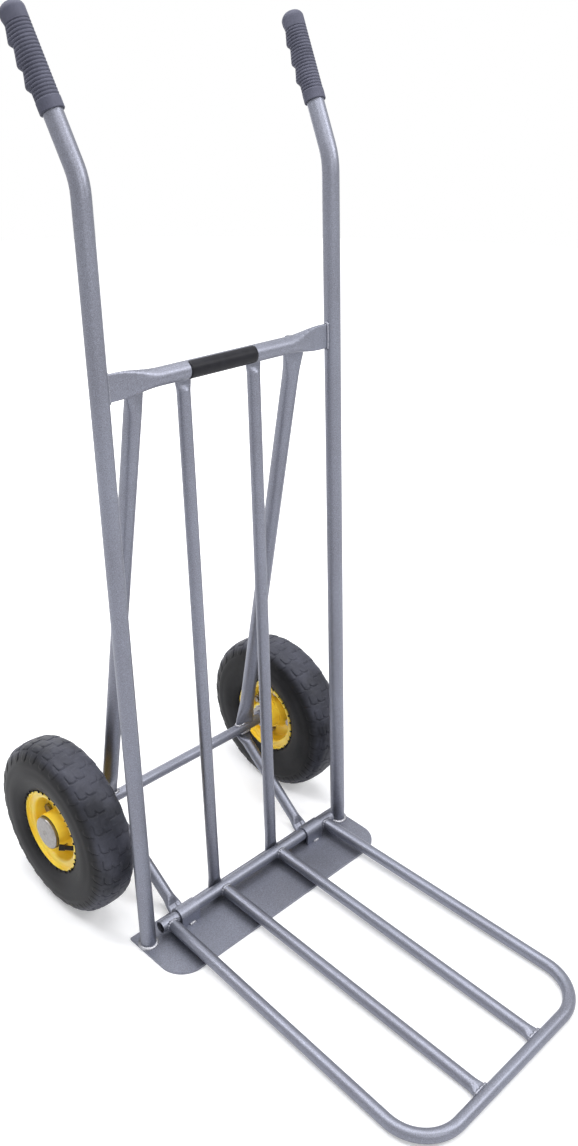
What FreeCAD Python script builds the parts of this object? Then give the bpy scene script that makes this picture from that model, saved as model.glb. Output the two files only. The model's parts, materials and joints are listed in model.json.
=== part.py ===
"""Two-wheeled hand truck with a fold-up foot, as a parametric FreeCAD document.

Millimetres and degrees. +Z is up, -Y is the front (the side that takes the load), and +X is the
left of a person who stands behind the handles. The origin is on the ground, at the middle of the
truck's footprint. Every driving dimension is a cell of the spreadsheet "Sizes".
"""
import FreeCAD, Part
import math
import os
import Sketcher

SIZES = {
    # welded frame
    "rail_diameter": (22.5, "outside diameter of side rails, crossbar and braces"),
    "rail_wall": (1.5, "wall of that tube"),
    "thin_diameter": (17.5, "outside diameter of slats and foot tubes"),
    "thin_wall": (1.5, "wall of that tube"),
    "rail_spacing": (394, "between the rail axes at the toe plate"),
    "rail_lean": (3.4, "rails lean back by this angle"),
    "rail_splay": (0.32, "rails close in towards the top by this angle"),
    "rail_length": (1014, "toe plate to the middle of the handle bend, along a rail"),
    "bend_radius": (75, "axis radius of the handle bend"),
    "bend_angle": (24.5, "handle bend"),
    "handle_twist": (9.7, "handle bends turn outwards by this angle"),
    "handle_length": (177, "handle bend to the open end of the tube"),
    "grip_start": (72.5, "handle bend to the mouth of the grip"),
    "grip_wall": (2.2, "rubber around the handle tube"),
    "grip_cap": (9.5, "rubber beyond the end of the handle tube"),
    "grip_round": (9, "rounding of the closed end of the grip"),
    "crossbar_height": (792, "toe plate to the crossbar axis, along the rails"),
    "crossbar_blade": (4.2, "thickness of the crossbar's pressed ends"),
    "crossbar_pinch": (58, "length over which the crossbar tube flattens"),
    "slat_spacing": (117.4, "between the slat axes"),
    "slat_lap": (0.15, "between the crossbar and the slats behind it"),
    "slat_blade": (7, "thickness of the pressed slat ends"),
    "brace_foot_spacing": (275, "between the brace axes at the axle"),
    "brace_top_spacing": (265.6, "between the brace axes at the crossbar"),
    "brace_blade": (4.5, "thickness of the pressed brace tops"),
    "brace_foot_blade": (6, "thickness of the pressed brace ends on the axle"),
    "strut_spacing": (272, "between the strut axes at the axle"),
    "strut_foot_spacing": (260.4, "between the strut axes at the toe plate"),
    "strut_blade": (6, "thickness of the pressed strut ends"),
    # toe plate and foot
    "plate_overhang": (13, "toe plate beyond the rail axes, at each side"),
    "plate_front": (83, "rail feet to the front edge of the toe plate"),
    "plate_back": (25, "rail feet to the rear edge of the toe plate"),
    "plate_thickness": (4, "toe plate"),
    "plate_corner": (38, "radius of its two front corners"),
    "hinge_forward": (1.5, "hinge axis in front of the rail feet"),
    "hinge_height": (19.5, "hinge axis above the ground"),
    "hinge_overhang": (16.5, "hinge tube beyond the axes of the foot's side bars, at each side"),
    "strap_spacing": (258, "between the middles of the two hinge straps"),
    "strap_width": (33, "width of a hinge strap"),
    "strap_thickness": (3, "sheet of the hinge straps"),
    "strap_clearance": (0.4, "between the hinge tube and a strap"),
    "foot_reach": (474, "rail feet to the axis of the foot's front bar"),
    "foot_width_back": (319, "between the side bars at the hinge"),
    "foot_width_front": (345, "between the side bars at the front bar"),
    "foot_corner": (60, "axis radius of the foot's two corners"),
    "bar_spacing": (115.6, "between the two inner bars of the foot"),
    "bar_blade": (9, "thickness of the pressed front ends of the inner bars"),
    # axle and wheels
    "axle_diameter": (17, "solid axle"),
    "axle_back": (161.5, "axle axis behind the rail feet"),
    "tyre_diameter": (260, "wheel over the tread"),
    "tyre_width": (71, "tyre, side to side"),
    "tyre_wall": (6, "tyre casing"),
    "tube_wall": (1.8, "inner tube"),
    "wheel_spacing": (426.6, "between the middle planes of the wheels"),
    "rim_radius": (61.5, "outer edge of the rim flange"),
    "rim_half_width": (28, "middle plane of the wheel to the rim's outer edge"),
    "seat_radius": (50, "tyre seat of the rim"),
    "rim_sheet": (2, "pressed sheet of the rim halves"),
    "flange_curl": (5.5, "rim edge to the upright wall of the flange"),
    "bolt_circle": (76, "circle of the rim bolts"),
    "bolt_diameter": (8, "rim bolts"),
    "bolt_turn": (9, "the first bolt lies this far above the level of the axle, behind it"),
    "hub_wall": (3, "hub sleeve around the bearings"),
    "hub_inboard": (33, "middle plane of the wheel to the hub sleeve's inboard end"),
    "hub_outboard": (21.5, "middle plane of the wheel to its outboard end, under the dust cap"),
    "axle_clearance": (0.05, "between the axle and what is pushed onto it"),
    "bearing_diameter": (40, "ball bearing outside"),
    "bearing_width": (12, "ball bearing"),
    "ball_diameter": (6.5, "balls of the bearing"),
    "cap_face": (36, "middle plane of the wheel to the face of the dust cap"),
    "cap_lap": (5, "length of hub sleeve that the dust cap covers"),
    "cap_sheet": (1.2, "sheet of the dust cap"),
    "washer_diameter": (38, "axle washers"),
    "washer_thickness": (2.5, "axle washers"),
    "spacer_diameter": (25, "spacer tube beside each wheel"),
    "pin_diameter": (2.8, "split pins at the ends of the axle"),
    "valve_drop": (10, "valve lies in front of the axle, below level by this angle"),
    "valve_diameter": (6.5, "valve stem"),
    "running_gap": (0.4, "side play between turning and fixed pieces"),
    "weld_gap": (0.1, "between pieces that are welded together"),
}

RIM_BOLTS = 4
HEXAGON = 1.9                                     # corner of a bolt head or nut, in bolt radii
VALVE_SHARE = 0.64                                # how far out and how far in the valve lies, as shares
BALLS = 8
X = FreeCAD.Vector(1, 0, 0)
Y = FreeCAD.Vector(0, 1, 0)
Z = FreeCAD.Vector(0, 0, 1)
SIDES = {"right": -1, "left": 1}

doc = FreeCAD.newDocument("hand_truck")
nodes = []


def make_sheet():
    """Writes the sizes into the sheet and returns their values by name."""
    sheet = doc.addObject("Spreadsheet::Sheet", "Sizes")
    for row, (name, (value, note)) in enumerate(SIZES.items(), start=1):
        sheet.set(f"A{row}", name)
        sheet.set(f"B{row}", str(value))
        sheet.setAlias(f"B{row}", name)
        sheet.set(f"C{row}", note)
    doc.recompute()
    return {name: float(sheet.get(name)) for name in SIZES}


size = make_sheet()

# ---------------------------------------------------------------- where things are

weld_gap = size["weld_gap"]
thin_radius = size["thin_diameter"] / 2
rail_radius = size["rail_diameter"] / 2
front_reach = size["foot_reach"] + thin_radius
back_reach = size["axle_back"] + size["tyre_diameter"] / 2
foot_line = (front_reach - back_reach) / 2        # Y of the rail feet, so that Y = 0 is the middle
plate_top = size["plate_thickness"]
axle_height = size["tyre_diameter"] / 2
lean = math.radians(size["rail_lean"])
splay = math.radians(size["rail_splay"])
wheel_x = size["wheel_spacing"] / 2
hinge_axis = FreeCAD.Vector(0, foot_line - size["hinge_forward"], size["hinge_height"])
foot_drop = size["hinge_height"] - thin_radius
foot_run = size["foot_reach"] - size["hinge_forward"]
foot_slope = math.degrees(math.asin(foot_drop / foot_run))


def at(x, back, up):
    """A point given by its distance behind the rail feet and its height."""
    return FreeCAD.Vector(x, foot_line + back, up)


def on_rail_plane(x, along, setback):
    """A point a way up the leaning plane of the rails, and set back behind it."""
    back = along * math.sin(lean) + setback * math.cos(lean)
    up = plate_top + along * math.cos(lean) - setback * math.sin(lean)
    return at(x, back, up)


def rail_x(along):
    """Distance of a rail's axis from the middle plane, a way up the rail."""
    return size["rail_spacing"] / 2 - along * math.tan(splay)


# ---------------------------------------------------------------- ways of making a piece

def finish(name, shape_object, placement=None):
    """Gives a sub-part its name and its place."""
    shape_object.Label = name
    if placement is not None:
        shape_object.Placement = placement
    nodes.append(shape_object)
    return shape_object


def value(expression):
    """The present value of an expression on the sheet."""
    result = doc.Sizes.evalExpression(expression)
    return getattr(result, "Value", result)


def plane_of(body, role):
    return next(f for f in body.Origin.OriginFeatures if f.Role == role)


def new_sketch(body, name, role):
    sketch = body.newObject("Sketcher::SketchObject", name)
    sketch.AttachmentSupport = (plane_of(body, role), [""])
    sketch.MapMode = "FlatFace"
    return sketch


def add_circle(sketch, diameter):
    """A circle about the sketch's origin, with its diameter bound to the sheet."""
    edge = sketch.addGeometry(Part.Circle(FreeCAD.Vector(), Z, value(diameter) / 2), False)
    sketch.addConstraint(Sketcher.Constraint("Coincident", edge, 3, -1, 1))
    index = sketch.addConstraint(Sketcher.Constraint("Diameter", edge, value(diameter)))
    sketch.setExpression(f"Constraints[{index}]", diameter)


def pin_point(sketch, edge, vertex, across, up):
    """Holds one end of an edge at two bound distances from the sketch's origin."""
    for kind, expression in (("DistanceX", across), ("DistanceY", up)):
        rule = Sketcher.Constraint(kind, -1, 1, edge, vertex, value(expression))
        sketch.setExpression(f"Constraints[{sketch.addConstraint(rule)}]", expression)


def add_outline(sketch, corners):
    """A closed outline of straight edges through bound corner points."""
    places = [FreeCAD.Vector(value(across), value(up), 0) for across, up in corners]
    first = sketch.GeometryCount
    for start, end in zip(places, places[1:] + places[:1]):
        sketch.addGeometry(Part.LineSegment(start, end), False)
    for index, (across, up) in enumerate(corners):
        following = first + (index + 1) % len(corners)
        sketch.addConstraint(Sketcher.Constraint("Coincident", first + index, 2, following, 1))
        pin_point(sketch, first + index, 1, across, up)


def tube_body(name, outside, inside, length):
    """A straight tube, disc or ring along Z from the origin."""
    body = doc.addObject("PartDesign::Body", name)
    sketch = new_sketch(body, name + "_section", "XY_Plane")
    add_circle(sketch, outside)
    if inside:
        add_circle(sketch, inside)
    pad = body.newObject("PartDesign::Pad", name + "_pad")
    pad.Profile = sketch
    pad.setExpression("Length", length)
    return body


def turned_body(name, corners):
    """A piece turned about Z. Corners are (radius, height) pairs."""
    body = doc.addObject("PartDesign::Body", name)
    sketch = new_sketch(body, name + "_profile", "XZ_Plane")
    add_outline(sketch, corners)
    turn = body.newObject("PartDesign::Revolution", name + "_turn")
    turn.Profile = sketch
    turn.ReferenceAxis = (sketch, ["V_Axis"])
    turn.Angle = 360
    return body


def swept_body(name, role, outside, inside, path_edges):
    """A bent tube: a ring-shaped section on the given plane, swept along a path of lines and arcs."""
    body = doc.addObject("PartDesign::Body", name)
    section = new_sketch(body, name + "_section", role)
    add_circle(section, outside)
    add_circle(section, inside)
    path = new_sketch(body, name + "_path", "YZ_Plane" if role == "XY_Plane" else "XY_Plane")
    for edge in path_edges:
        path.addGeometry(edge, False)
    pipe = body.newObject("PartDesign::AdditivePipe", name + "_pipe")
    pipe.Profile = section
    pipe.Spine = (path, [f"Edge{index + 1}" for index in range(len(path_edges))])
    return body


def fillet_edges(body, name, radius, chosen):
    """Rounds the edges of a body's tip that a test picks."""
    doc.recompute()
    tip = body.Tip
    names = [f"Edge{i + 1}" for i, edge in enumerate(tip.Shape.Edges) if chosen(edge)]
    fillet = body.newObject("PartDesign::Fillet", name)
    fillet.Base = (tip, names)
    fillet.setExpression("Radius", radius)
    return fillet


def along_flat(start, end, flat_normal):
    """A placement with its Z axis from start towards end, and its X axis near a flat side's normal."""
    up = (end - start).normalize()
    return FreeCAD.Placement(start, FreeCAD.Rotation(flat_normal, FreeCAD.Vector(), up, "ZXY"))


# ---------------------------------------------------------------- tubes with pressed ends

PRESS_STEPS = (0.2, 0.4, 0.6, 0.8, 1)
OUTLINE_POINTS = 24
FLAT_SPREAD = 1.6                                 # how soon the points of an outline leave its flats


def pressed_thickness(distance, diameter, blade, flat, pinch):
    """Thickness of a pressed tube end, a distance in from its tip."""
    share = min(max((distance - flat) / pinch, 0), 1)
    return blade + (diameter - blade) * (1 - math.cos(math.pi * share)) / 2


def pressed_outline(diameter, thickness, height, inset):
    """The round tube's girth, pressed to a thickness along X. The wall lies inside the inset."""
    half_flat = math.pi * (diameter - thickness) / 4
    radius = max(thickness / 2 - inset, weld_gap)
    points = []
    for step in range(OUTLINE_POINTS):
        angle = 2 * math.pi * (step + 0.5) / OUTLINE_POINTS
        shift = half_flat * max(-1, min(1, FLAT_SPREAD * math.sin(angle)))
        points.append(FreeCAD.Vector(radius * math.cos(angle), shift + radius * math.sin(angle), height))
    curve = Part.BSplineCurve()
    curve.interpolate(points, PeriodicFlag=True)
    return Part.Wire([curve.toShape()])


def pressed_tube(name, length, diameter, wall, start=None, end=None):
    """A tube along Z. start and end are (blade thickness, flat length, pinch length) of a pressed end."""
    heights = {0.0, length}
    if start:
        heights.update([start[1]] + [start[1] + start[2] * share for share in PRESS_STEPS])
    if end:
        heights.update([length - end[1]] + [length - end[1] - end[2] * share for share in PRESS_STEPS])
    stations = []
    for height in sorted(heights):
        from_start = pressed_thickness(height, diameter, *start) if start else diameter
        from_end = pressed_thickness(length - height, diameter, *end) if end else diameter
        stations.append((height, min(from_start, from_end)))
    outside = Part.makeLoft([pressed_outline(diameter, t, h, 0) for h, t in stations], True, True)
    inside = Part.makeLoft([pressed_outline(diameter, t, h, wall) for h, t in stations], True, True)
    feature = doc.addObject("Part::Feature", name)
    feature.Shape = outside.cut(inside)
    return feature


# ---------------------------------------------------------------- pressed sheet

def soft_corners(points, radius):
    """A line of points with its inner corners rounded."""
    rounded = [points[0]]
    for before, corner, after in zip(points, points[1:], points[2:]):
        into = (before - corner).normalize()
        out = (after - corner).normalize()
        half = into.getAngle(out) / 2
        reach = min(radius / math.tan(half), 0.45 * (before - corner).Length, 0.45 * (after - corner).Length)
        start, end = corner + into * reach, corner + out * reach
        for share in (0, 0.25, 0.5, 0.75, 1):
            line_in = start + (corner - start) * share
            line_out = corner + (end - corner) * share
            rounded.append(line_in + (line_out - line_in) * share)
    return rounded + [points[-1]]


def sheet_face(points, thickness):
    """A strip of sheet in the XY plane, with its middle along a line of points."""
    normals = []
    for index, point in enumerate(points):
        before = points[max(index - 1, 0)]
        after = points[min(index + 1, len(points) - 1)]
        run = (after - before).normalize()
        normals.append(FreeCAD.Vector(-run.y, run.x, 0))
    left = [p + n * (thickness / 2) for p, n in zip(points, normals)]
    right = [p - n * (thickness / 2) for p, n in zip(points, normals)]
    outline = left + right[::-1]
    return Part.Face(Part.makePolygon(outline + outline[:1]))


def spun_sheet(name, stations, thickness, bend):
    """Pressed sheet turned about X. Stations are (distance along X, radius) pairs."""
    points = soft_corners([FreeCAD.Vector(a, r, 0) for a, r in stations], bend)
    feature = doc.addObject("Part::Feature", name)
    feature.Shape = sheet_face(points, thickness).revolve(FreeCAD.Vector(), X, 360)
    return feature


def drill(feature, holes):
    """Cuts (start, direction, radius, length) holes out of a Part::Feature."""
    cutters = [Part.makeCylinder(radius, length, start, way) for start, way, radius, length in holes]
    feature.Shape = feature.Shape.cut(cutters)
    return feature


# ---------------------------------------------------------------- welded frame

def rail_placement(side):
    """Local Z runs up the rail from its foot, and the handle bends towards local Y."""
    sign = SIDES[side]
    turn = FreeCAD.Rotation(X, -size["rail_lean"]) * FreeCAD.Rotation(Y, -sign * size["rail_splay"])
    turn = turn * FreeCAD.Rotation(Z, -sign * size["handle_twist"])
    lift = rail_radius * math.tan(lean) + weld_gap
    return FreeCAD.Placement(on_rail_plane(sign * size["rail_spacing"] / 2, lift, 0), turn)


def make_rail(side):
    """Bent side rail: straight up from the toe plate, then back to the handle."""
    bend = math.radians(size["bend_angle"])
    tangent = size["bend_radius"] * math.tan(bend / 2)
    straight_end = FreeCAD.Vector(0, size["rail_length"] - tangent, 0)
    away = FreeCAD.Vector(math.sin(bend), math.cos(bend), 0)
    corner = FreeCAD.Vector(0, size["rail_length"], 0)
    centre = straight_end + FreeCAD.Vector(size["bend_radius"], 0, 0)
    circle = Part.Circle(centre, Z, size["bend_radius"])
    edges = [
        Part.LineSegment(FreeCAD.Vector(), straight_end),
        Part.ArcOfCircle(circle, math.pi - bend, math.pi),
        Part.LineSegment(corner + away * tangent, corner + away * size["handle_length"]),
    ]
    body = swept_body(f"{side}_rail", "XY_Plane", "Sizes.rail_diameter",
                      "Sizes.rail_diameter - 2 * Sizes.rail_wall", edges)
    path = doc.getObject(f"{side}_rail_path")
    path.addConstraint(Sketcher.Constraint("Tangent", 0, 2, 1, 2))
    path.addConstraint(Sketcher.Constraint("Tangent", 1, 1, 2, 1))
    radius = path.addConstraint(Sketcher.Constraint("Radius", 1, size["bend_radius"]))
    path.setExpression(f"Constraints[{radius}]", "Sizes.bend_radius")
    path.addConstraint(Sketcher.Constraint("Coincident", 0, 1, -1, 1))
    bend_words = "Sizes.bend_angle * 1 deg"
    pin_point(path, 0, 2, "0", f"Sizes.rail_length - Sizes.bend_radius * tan({bend_words} / 2)")
    pin_point(path, 2, 2, f"Sizes.handle_length * sin({bend_words})",
              f"Sizes.rail_length + Sizes.handle_length * cos({bend_words})")
    finish(f"{side}_side_rail", body, rail_placement(side))


def make_grip(side):
    """Rubber sleeve with a closed, rounded end, pushed over the handle tube."""
    bore = "Sizes.rail_diameter / 2 + Sizes.weld_gap"
    outer = "Sizes.rail_diameter / 2 + Sizes.grip_wall"
    tube_end = "Sizes.handle_length - Sizes.grip_start + Sizes.weld_gap"
    tip = "Sizes.handle_length - Sizes.grip_start + Sizes.grip_cap"
    rounding = [(f"{outer} - Sizes.grip_round * (1 - cos({angle} deg))",
                 f"{tip} - Sizes.grip_round * (1 - sin({angle} deg))") for angle in (0, 30, 60, 90)]
    corners = [(bore, "0"), (outer, "0")] + rounding + [("0", tip), ("0", tube_end), (bore, tube_end)]
    body = turned_body(f"{side}_grip", corners)
    bend = FreeCAD.Rotation(X, -size["bend_angle"])
    mouth = Z * size["rail_length"] + bend.multVec(Z) * size["grip_start"]
    finish(f"{side}_grip", body, rail_placement(side) * FreeCAD.Placement(mouth, bend))


def crossbar_end():
    return size["crossbar_blade"], size["rail_diameter"] * 2 / 3, size["crossbar_pinch"]


def make_crossbar():
    """Tube between the rails, its ends pressed to upright blades."""
    along_rail = size["crossbar_height"]
    reach = rail_x(along_rail) - rail_radius - weld_gap
    start = on_rail_plane(-reach, along_rail, 0)
    end = on_rail_plane(reach, along_rail, 0)
    tube = pressed_tube("crossbar", 2 * reach, size["rail_diameter"], size["rail_wall"],
                        crossbar_end(), crossbar_end())
    finish("crossbar", tube, along_flat(start, end, at(0, 1, 0) - at(0, 0, math.tan(lean))))


slat_setback = rail_radius + size["slat_lap"] + size["slat_blade"] / 2


def make_slat(side):
    """Upright slat, pressed where it stands on the plate and where it laps the crossbar."""
    x = SIDES[side] * size["slat_spacing"] / 2
    lift = slat_setback * math.tan(lean) + size["slat_blade"] * math.tan(lean)
    foot = on_rail_plane(x, lift, slat_setback)
    top = on_rail_plane(x, size["crossbar_height"] + rail_radius / 2, slat_setback)
    pressed = (size["slat_blade"], thin_radius, 2 * thin_radius)
    tube = pressed_tube(f"{side}_slat", (top - foot).Length, size["thin_diameter"], size["thin_wall"],
                        pressed, (size["slat_blade"], rail_radius * 2, 1.5 * thin_radius))
    finish(f"{side}_slat", tube, along_flat(foot, top, Y))


def make_brace(side):
    """Rear brace from the top of the axle to the back of the crossbar's tapering end."""
    sign = SIDES[side]
    x = size["brace_top_spacing"] / 2
    tip = rail_x(size["crossbar_height"]) - rail_radius
    near, far = (pressed_thickness(tip - x + step, size["rail_diameter"], *crossbar_end()) / 2
                 for step in (-rail_radius, rail_radius))
    slope = (far - near) / size["rail_diameter"]
    lap = rail_radius * 0.7
    axle_point = at(sign * size["brace_foot_spacing"] / 2, size["axle_back"], axle_height)
    crossing = on_rail_plane(sign * x, size["crossbar_height"], 0)
    tilt = lean + math.atan2(axle_point.y - crossing.y, crossing.z - axle_point.z)
    setback = (near + far) / 2 + size["brace_blade"] / 2 + 4 * weld_gap + lap * math.tan(tilt)
    top = on_rail_plane(sign * x, size["crossbar_height"], setback)
    way = (top - axle_point).normalize()
    foot = axle_point + way * (size["axle_diameter"] / 2 + weld_gap)
    tip_point = top + way * lap
    tube = pressed_tube(f"{side}_brace", (tip_point - foot).Length, size["rail_diameter"], size["rail_wall"],
                        (size["brace_foot_blade"], thin_radius / 4, 4 * rail_radius),
                        (size["brace_blade"], rail_radius, 4 * rail_radius))
    finish(f"{side}_brace", tube, along_flat(foot, tip_point, FreeCAD.Vector(sign * slope, 1, 0)))


STRUT_SEAT = 0.66                                 # strut feet, as a share of the way to the plate's rear edge


def make_strut(side):
    """Lower strut from the rear of the toe plate to the underside of the axle."""
    sign = SIDES[side]
    blade = size["strut_blade"]
    foot_back = size["plate_back"] * STRUT_SEAT
    foot_up = plate_top + blade / 2
    rise = axle_height - foot_up
    run = size["axle_back"] - foot_back
    reach = math.hypot(rise, run)
    offset = size["axle_diameter"] / 2 + blade / 2 + 2 * weld_gap
    angle = math.atan2(rise, run) - math.asin(offset / reach)
    length = math.sqrt(reach ** 2 - offset ** 2) + thin_radius
    foot = at(sign * size["strut_foot_spacing"] / 2, foot_back, foot_up)
    end = at(sign * size["strut_spacing"] / 2, foot_back + length * math.cos(angle),
             foot_up + length * math.sin(angle))
    pressed = (blade, thin_radius, 2 * thin_radius)
    tube = pressed_tube(f"{side}_strut", (end - foot).Length, size["thin_diameter"], size["thin_wall"],
                        pressed, (blade, 2 * thin_radius, 2 * thin_radius))
    finish(f"{side}_strut", tube, along_flat(foot, end, Z))


def make_plate():
    """Toe plate with two large front corners, flat on the ground."""
    body = doc.addObject("PartDesign::Body", "plate")
    sketch = new_sketch(body, "plate_outline", "XY_Plane")
    half = "(Sizes.rail_spacing / 2 + Sizes.plate_overhang)"
    add_outline(sketch, [(f"-{half}", "-Sizes.plate_front"), (half, "-Sizes.plate_front"),
                         (half, "Sizes.plate_back"), (f"-{half}", "Sizes.plate_back")])
    pad = body.newObject("PartDesign::Pad", "plate_pad")
    pad.Profile = sketch
    pad.setExpression("Length", "Sizes.plate_thickness")

    def front_corner(edge):
        box = edge.BoundBox
        return box.ZLength > 0.9 * size["plate_thickness"] and box.YMax < 0

    fillet_edges(body, "plate_corners", "Sizes.plate_corner", front_corner)
    finish("toe_plate", body, FreeCAD.Placement(at(0, 0, 0), FreeCAD.Rotation()))


def make_strap(side):
    """Saddle bent over the hinge tube and welded down to the toe plate."""
    inner = thin_radius + size["strap_clearance"]
    outer = inner + size["strap_thickness"]
    leg = size["hinge_height"] - plate_top - weld_gap / 2
    width = size["strap_width"]

    def saddle(radius):
        arch = Part.makeCylinder(radius, width, FreeCAD.Vector(), X)
        return arch.fuse(Part.makeBox(width, 2 * radius, leg, FreeCAD.Vector(0, -radius, -leg)))

    below = Part.makeBox(width, 4 * outer, outer, FreeCAD.Vector(0, -2 * outer, -leg - outer))
    feature = doc.addObject("Part::Feature", f"{side}_strap")
    feature.Shape = saddle(outer).cut([saddle(inner), below])
    x = SIDES[side] * size["strap_spacing"] / 2 - width / 2
    finish(f"{side}_hinge_strap", feature, FreeCAD.Placement(hinge_axis + X * x, FreeCAD.Rotation()))


# ---------------------------------------------------------------- fold-up foot

foot_placement = FreeCAD.Placement(hinge_axis, FreeCAD.Rotation(X, foot_slope))


def make_hinge_tube():
    body = tube_body("hinge_tube", "Sizes.thin_diameter", "Sizes.thin_diameter - 2 * Sizes.thin_wall",
                     "Sizes.foot_width_back + 2 * Sizes.hinge_overhang")
    start = hinge_axis - X * (size["foot_width_back"] / 2 + size["hinge_overhang"])
    finish("hinge_tube", body, FreeCAD.Placement(start, FreeCAD.Rotation(Y, 90)))


def make_foot_frame():
    """One bent tube: a side bar, the front bar and the other side bar."""
    back = FreeCAD.Vector(size["foot_width_back"] / 2, -thin_radius - 3 * weld_gap, 0)
    front = FreeCAD.Vector(size["foot_width_front"] / 2, -foot_run, 0)
    reach = front - back
    corner_angle = math.pi - FreeCAD.Vector(-1, 0, 0).getAngle(back - front)
    tangent = size["foot_corner"] * math.tan(corner_angle / 2)
    side_end = front - reach.normalize() * tangent
    front_end = front - X * tangent
    centre = FreeCAD.Vector(front_end.x, front_end.y + size["foot_corner"], 0)
    outward = (side_end + front_end) * 0.5 - centre
    middle = centre + outward.normalize() * size["foot_corner"]

    def mirrored(point):
        return FreeCAD.Vector(-point.x, point.y, 0)

    edges = [
        Part.LineSegment(back, side_end),
        Part.Arc(side_end, middle, front_end),
        Part.LineSegment(front_end, mirrored(front_end)),
        Part.Arc(mirrored(front_end), mirrored(middle), mirrored(side_end)),
        Part.LineSegment(mirrored(side_end), mirrored(back)),
    ]
    path = Part.Wire([edge.toShape() for edge in edges])
    rings = []
    for radius in (thin_radius, thin_radius - size["thin_wall"]):
        ring = Part.Wire(Part.makeCircle(radius, back, side_end - back))
        rings.append(path.makePipeShell([ring], True, False))
    feature = doc.addObject("Part::Feature", "foot_tube")
    feature.Shape = rings[0].cut(rings[1])
    finish("foot_frame", feature, foot_placement)


def make_foot_bar(side):
    """Inner bar of the foot, its front end pressed and welded to the front bar."""
    x = SIDES[side] * size["bar_spacing"] / 2
    start = foot_placement.multVec(FreeCAD.Vector(x, -thin_radius - weld_gap, 0))
    end = foot_placement.multVec(FreeCAD.Vector(x, -foot_run + thin_radius + weld_gap, 0))
    tube = pressed_tube(f"{side}_bar", (end - start).Length, size["thin_diameter"], size["thin_wall"],
                        None, (size["bar_blade"], weld_gap, 1.5 * thin_radius))
    finish(f"{side}_foot_bar", tube, along_flat(start, end, Z))


# ---------------------------------------------------------------- axle and wheels

gap = size["running_gap"]
washer = size["washer_thickness"]
hub_radius = size["bearing_diameter"] / 2 + size["hub_wall"]
hub_start, hub_end = -size["hub_inboard"], size["hub_outboard"]
cap_mouth = hub_end - size["cap_lap"]
pin_radius = size["pin_diameter"] / 2
pin_place = hub_end + gap + washer + 2 * pin_radius
axle_end = size["cap_face"] - 3 * size["cap_sheet"]
seat = size["seat_radius"]
flange_wall = size["rim_half_width"] - size["flange_curl"]


def wheel_placement(side, distance=0.0):
    """Local X points away from the truck, from the wheel's middle plane or a distance outside it."""
    sign = SIDES[side]
    turn = FreeCAD.Rotation() if sign > 0 else FreeCAD.Rotation(Z, 180)
    return FreeCAD.Placement(at(sign * (wheel_x + distance), size["axle_back"], axle_height), turn)


BORE = "Sizes.axle_diameter + 2 * Sizes.axle_clearance"


def lay_on_axle(name, side, body, distance):
    """Turns a piece made along Z so that it runs outwards along the axle from a distance."""
    lay = FreeCAD.Placement(FreeCAD.Vector(), FreeCAD.Rotation(Y, 90))
    return finish(name, body, wheel_placement(side, distance) * lay)


def shape_node(name, shape, placement):
    """A sub-part whose shape is worked out here from the sheet."""
    feature = doc.addObject("Part::Feature", name + "_shape")
    feature.Shape = shape
    return finish(name, feature, placement)


def make_axle():
    """Solid bar with a cross hole for each split pin."""
    length = 2 * (wheel_x + axle_end)
    reach = size["axle_diameter"]
    bar = Part.makeCylinder(reach / 2, length, X * (-length / 2), X)
    starts = [X * (sign * (wheel_x + pin_place)) - Z * reach for sign in SIDES.values()]
    holes = [Part.makeCylinder(pin_radius + weld_gap, 2 * reach, start, Z) for start in starts]
    place = FreeCAD.Placement(at(0, size["axle_back"], axle_height), FreeCAD.Rotation())
    shape_node("axle", bar.cut(holes), place)


def make_split_pin(side):
    """Split pin down through the axle, with its legs bent apart below."""
    axle_radius = size["axle_diameter"] / 2
    eye_radius = 2 * pin_radius
    below = Z * (-axle_radius - pin_radius)
    shank = Part.makeCylinder(pin_radius, 2 * (axle_radius + pin_radius), below, Z)
    eye = Part.makeTorus(eye_radius, pin_radius, Z * (axle_radius + pin_radius + eye_radius), X)
    leg_radius = 0.7 * pin_radius
    legs = [Part.makeCylinder(leg_radius, 3 * pin_radius, below + Z * leg_radius, Y * way - Z * 0.3)
            for way in (-1, 1)]
    shape_node(f"{side}_split_pin", shank.fuse([eye] + legs), wheel_placement(side, pin_place))


def make_axle_fittings(side):
    """Spacer tube and washers that hold the wheel at its place along the axle."""
    inner_face = hub_start - gap - washer
    spacer_face = inner_face - 2 * washer - weld_gap
    for name, outside, width, distance in (
            ("inner_washer", "washer_diameter", "Sizes.washer_thickness", inner_face),
            ("outer_washer", "washer_diameter", "Sizes.washer_thickness", hub_end + gap),
            ("axle_spacer", "spacer_diameter", "2 * Sizes.washer_thickness", spacer_face)):
        body = tube_body(f"{side}_{name}", f"Sizes.{outside}", BORE, width)
        lay_on_axle(f"{side}_{name}", side, body, distance)
    make_split_pin(side)


def mirrored_stations(stations):
    """The same (distance, radius) stations on the other side of the middle plane."""
    return [(-distance, radius) for distance, radius in reversed(stations)]


def ring_of(loop):
    """The solid that a closed loop of (distance, radius) stations makes when it turns about the axle."""
    outline = Part.makePolygon([FreeCAD.Vector(a, r, 0) for a, r in loop + loop[:1]])
    return Part.Face(outline).revolve(FreeCAD.Vector(), X, 360)


# tyre outlines as shares of its half width and of its depth from the seat to the crown
SIDEWALL = ((0.93, 0.29), (0.99, 0.42), (1.0, 0.55), (0.97, 0.69), (0.89, 0.81), (0.75, 0.91), (0.5, 0.98))


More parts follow.
